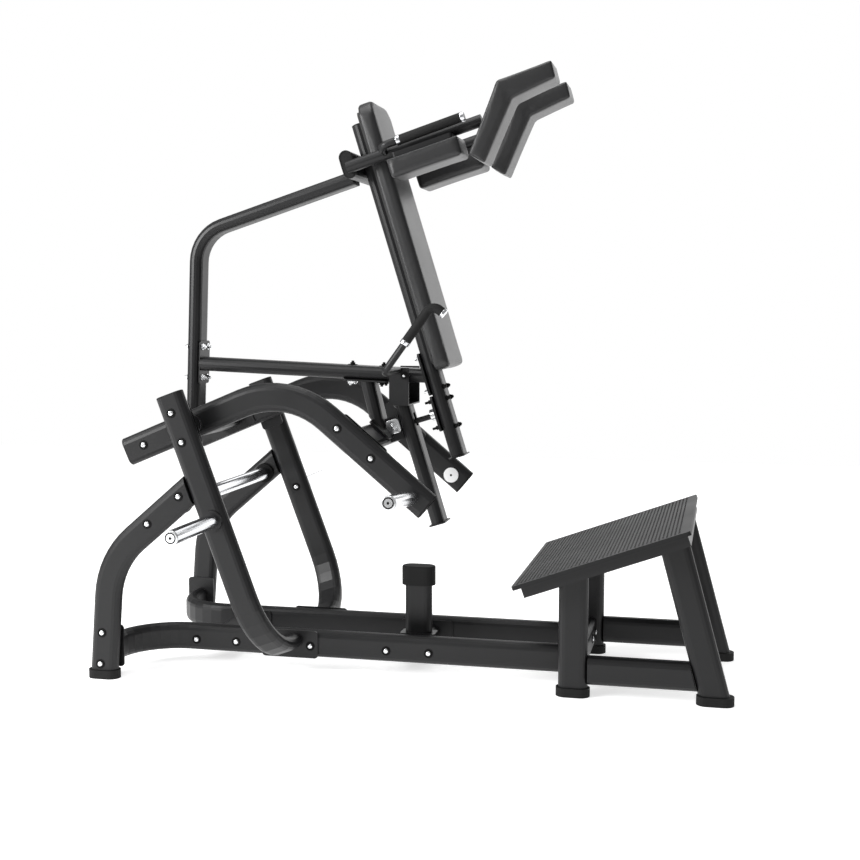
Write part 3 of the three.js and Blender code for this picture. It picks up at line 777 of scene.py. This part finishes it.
def buildHornEnds():
    seat = {"radius": 0.029, "height": 0.003, "edge": 0.001}
    seatRings = [(0.0235, -0.0008), (0.0015, -0.0012)]
    for side, sign in sides.items():
        turnedEnd(f"storageHornEnd_{side}", hornEnd, hornEndRings, steel, "frame",
                  turnedTo((0, sign, 0), (-0.630, sign * 0.8, 0.577)), hornGrooves)
        rise = math.radians(5)
        outward = Vector((0, sign * math.cos(rise), math.sin(rise)))
        weightTip = Vector((0.039, sign * 0.3465, 0.662)) + outward * 0.3
        turnedEnd(f"weightHornEnd_{side}", hornEnd, hornEndRings, steel, "carriage",
                  turnedTo(outward, weightTip), hornGrooves)
        # the seat disc's dished middle is painted near-black as shade
        turnedEnd(f"hornSeatDisc_{side}", seat, seatRings, whiteCap, "carriage",
                  turnedTo((0, -sign, 0), (0.039, sign * 0.294, 0.659)), ((0, 0.0044),))


crossTubeCollar = {"radius": 0.0395, "height": 0.0105, "edge": 0.004}


def buildCollars():
    # black moulded collars over the chrome tube's welded discs
    for side, sign in sides.items():
        turnedEnd(f"crossTubeCollar_{side}", crossTubeCollar, [(0.0135, -0.002)], blackAndGrooveShade,
                  "frame", turnedTo((0, -sign, 0), (-0.764, sign * 0.4125, 0.630)))


clevis = {  # metres; up is its height along the post
    "length": 0.05, "thickness": 0.0035, "height": 0.052, "corner": 0.012, "up": 0.171,
}


def buildClevis():
    # two bright cheeks on the brace's lugs, with a hexagon bolt through them
    cheeks = []
    heightUp = clevis["up"]
    for y in (-0.0308, 0.0308):
        startClean()
        bpy.ops.mesh.primitive_cube_add(size=1)
        cheek = bpy.context.object
        cheek.scale = (clevis["length"], clevis["thickness"], clevis["height"])
        bpy.ops.object.transform_apply(location=False, rotation=False, scale=True)
        bpy.ops.object.mode_set(mode="EDIT")
        bpy.ops.mesh.select_mode(type="EDGE")
        bpy.ops.mesh.select_all(action="DESELECT")
        mesh = bmesh.from_edit_mesh(cheek.data)
        for edge in mesh.edges:
            along = (edge.verts[0].co - edge.verts[1].co).normalized()
            edge.select_set(abs(along.y) > 0.9)
        bmesh.update_edit_mesh(cheek.data)
        bpy.ops.mesh.bevel(offset=clevis["corner"], segments=5)
        bpy.ops.object.mode_set(mode="OBJECT")
        cheek.data.transform(Matrix.Translation((0, y, 0)))
        cheeks.append(cheek)
    pair = joinPieces(cheeks, "braceClevis")
    addModifier(pair, "BEVEL", width=0.0008, segments=2, limit_method="ANGLE", angle_limit=math.radians(50))
    applyModifiers(pair)
    setMaterials(pair, steel)
    finishShape(pair, "braceClevis", 30)
    turn = Matrix((backrestOut, (0, 1, 0), backrestUp)).transposed().to_4x4()
    pair.data.transform(Matrix.Translation(onBackrest(-0.197, heightUp)) @ turn)
    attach(pair, "carriage")
    bolt = modelHexBolt("Bright")
    heads = [
        copyTo(bolt, turnedTo((0, step, 0), onBackrest(-0.195, heightUp, step * 0.0326)), "clevisBolt")
        for step in (-1, 1)
    ]
    dropPiece(bolt)
    joined = joinPieces(heads, "braceClevisBolt")
    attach(joined, "carriage")
    nut = {"radius": 0.021, "height": 0.024, "edge": 0.002}
    turnedEnd("braceEndNut", nut, [(0.004, -0.004), (0.003, 0.002)], steel, "carriage",
              turnedTo(-backrestOut, onBackrest(-0.0335, heightUp)))


def buildPinCovers():
    # a black ring and a small bright screw over each end of the safety lever's pin
    cover = {"radius": 0.0125, "height": 0.002, "edge": 0.0006}
    for side, sign in sides.items():
        place = (-0.05, sign * 0.0921, 1.06)
        turnedEnd(f"leverPinCover_{side}", cover, [(0.0075, -0.0005)], blackAndGrooveShade,
                  "safety_lever", turnedTo((0, sign, 0), place))
        roundPiece(f"leverPinScrew_{side}", 0.0045, 0.004, steel, "safety_lever",
                   turnedTo((0, sign, 0), place), 0.001)


buildShoulderGrips()
buildHipGrip()
buildHornEnds()
buildCollars()
buildClevis()
buildPinCovers()
print("grips, horn ends, collars and clevis made")


# tread studs

tread = {"pitch": 0.0135, "length": 0.0095, "width": 0.0042, "height": 0.0011, "margin": 0.012}


treadPlate = {  # metres and degrees
    "length": 0.609, "width": 0.842, "slope": 20, "lowEdge": (0.392, 0, 0.389),
}


def buildTread():
    # a low bar with sloped ends, laid over the plate in rows that lean alternately left and right
    startClean()
    bpy.ops.mesh.primitive_cylinder_add(vertices=8, radius=0.5, depth=1, location=(0, 0, 0.5))
    stud = bpy.context.object
    bpy.ops.object.transform_apply(location=True, rotation=False, scale=False)
    stud.scale = (tread["length"], tread["width"], tread["height"])
    bpy.ops.object.transform_apply(location=False, rotation=False, scale=True)
    pickFaces(stud, lambda face: face.normal.z > 0.9)
    bpy.ops.transform.resize(value=(0.75, 0.6, 1))
    bpy.ops.object.mode_set(mode="OBJECT")
    setMaterials(stud, treadCoat)
    turns = [Matrix.Rotation(math.radians(45 * sign), 4, "Z") for sign in (1, -1)]
    length = treadPlate["length"] - 2 * tread["margin"]
    width = treadPlate["width"] - 2 * tread["margin"]
    rows = int(length / tread["pitch"])
    columns = int(width / tread["pitch"])
    leaningStuds = []
    for index, turn in enumerate(turns):
        across = -width / 2 + tread["pitch"] / 2 + index * tread["pitch"]
        shift = Matrix.Translation((tread["margin"] + tread["pitch"] / 2, across, 0))
        copy = copyTo(stud, shift @ turn, f"studRow{index}")
        addModifier(copy, "ARRAY", use_relative_offset=False, use_constant_offset=True,
                    constant_offset_displace=(0, 2 * tread["pitch"], 0), count=(columns + 1 - index) // 2)
        applyModifiers(copy)
        leaningStuds.append(copy)
    row = joinPieces(leaningStuds, "studRow")
    mirrored = Matrix.Translation((tread["pitch"], 0, 0)) @ Matrix.Scale(-1, 4, (0, 1, 0))
    flipped = copyTo(row, mirrored, "studRowFlipped")
    flipped.data.flip_normals()
    pair = joinPieces([row, flipped], "treadStuds")
    addModifier(pair, "ARRAY", use_relative_offset=False, use_constant_offset=True,
                constant_offset_displace=(2 * tread["pitch"], 0, 0), count=rows // 2)
    applyModifiers(pair)
    slope = Matrix.Rotation(-math.radians(treadPlate["slope"]), 4, "Y")
    pair.data.transform(Matrix.Translation(treadPlate["lowEdge"]) @ slope)
    finishShape(pair, "treadStuds", 30)
    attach(pair, "frame")
    dropPiece(stud)


buildTread()
print("tread studs made")


# pads

padWork = {"voxel": 0.005, "pressure": 2.0, "frames": 20, "cap": 0.001, "edge": 0.0045}


def puffUp(piece, cap):
    # a short pressure simulation swells the cover, and no point moves further than the cap
    start = [vertex.co.copy() for vertex in piece.data.vertices]
    makeActive(piece)
    cloth = addModifier(piece, "CLOTH")
    cloth.settings.use_pressure = True
    cloth.settings.uniform_pressure_force = padWork["pressure"]
    cloth.settings.effector_weights.gravity = 0
    cloth.settings.tension_stiffness = 40
    cloth.settings.compression_stiffness = 40
    cloth.point_cache.frame_start = 1
    cloth.point_cache.frame_end = padWork["frames"]
    for step in range(1, padWork["frames"] + 1):
        bpy.context.scene.frame_set(step)
    bpy.ops.object.modifier_apply(modifier=cloth.name)
    bpy.context.scene.frame_set(1)
    for vertex, before in zip(piece.data.vertices, start):
        move = vertex.co - before
        if move.length > cap:
            vertex.co = before + move * (cap / move.length)


def buildPad(node, name):
    startClean()
    source = frame["nodes"][node]
    piece = source.copy()
    piece.data = source.data.copy()
    piece.name = name
    bpy.context.collection.objects.link(piece)
    piece.parent = None
    piece.matrix_world = Matrix.Identity(4)
    makeActive(piece)
    bpy.ops.object.mode_set(mode="EDIT")
    bpy.ops.mesh.select_all(action="SELECT")
    bpy.ops.mesh.remove_doubles(threshold=0.0001)
    bpy.ops.mesh.dissolve_limited(angle_limit=math.radians(2))
    bpy.ops.mesh.normals_make_consistent(inside=False)
    bpy.ops.object.mode_set(mode="OBJECT")
    addModifier(piece, "BEVEL", width=padWork["edge"], segments=3, limit_method="ANGLE",
                angle_limit=math.radians(40))
    addModifier(piece, "REMESH", mode="VOXEL", voxel_size=padWork["voxel"])
    applyModifiers(piece)
    puffUp(piece, padWork["cap"])
    addModifier(piece, "SMOOTH", factor=0.5, iterations=2)
    addModifier(piece, "SUBSURF", levels=1, render_levels=1)
    applyModifiers(piece)
    setMaterials(piece, hideMaterial)
    finishShape(piece, name, 60)
    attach(piece, "carriage")
    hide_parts(node)
    return piece


buildPad("back_pad", "backCushion")
for side in sides:
    buildPad(f"shoulder_pad_{side}", f"shoulderCushion_{side}")
    buildPad(f"neck_pad_{side}", f"neckCushion_{side}")
print("pads made")


# floor and room

def buildFloor():
    startClean()
    bpy.ops.mesh.primitive_plane_add(size=13, location=(0, 0, -0.0005))
    floor = bpy.context.object
    floor.name = "studioFloor"
    material, tree, shader = newMaterial("paleFloor")
    shader.inputs["Base Color"].default_value = (0.93, 0.93, 0.93, 1)
    shader.inputs["Roughness"].default_value = 0.75
    shader.inputs["Emission Color"].default_value = (1, 1, 1, 1)
    shader.inputs["Emission Strength"].default_value = 0.6
    shader.inputs["Specular IOR Level"].default_value = 0.2
    setMaterials(floor, material)


buildFloor()
buildRoom()
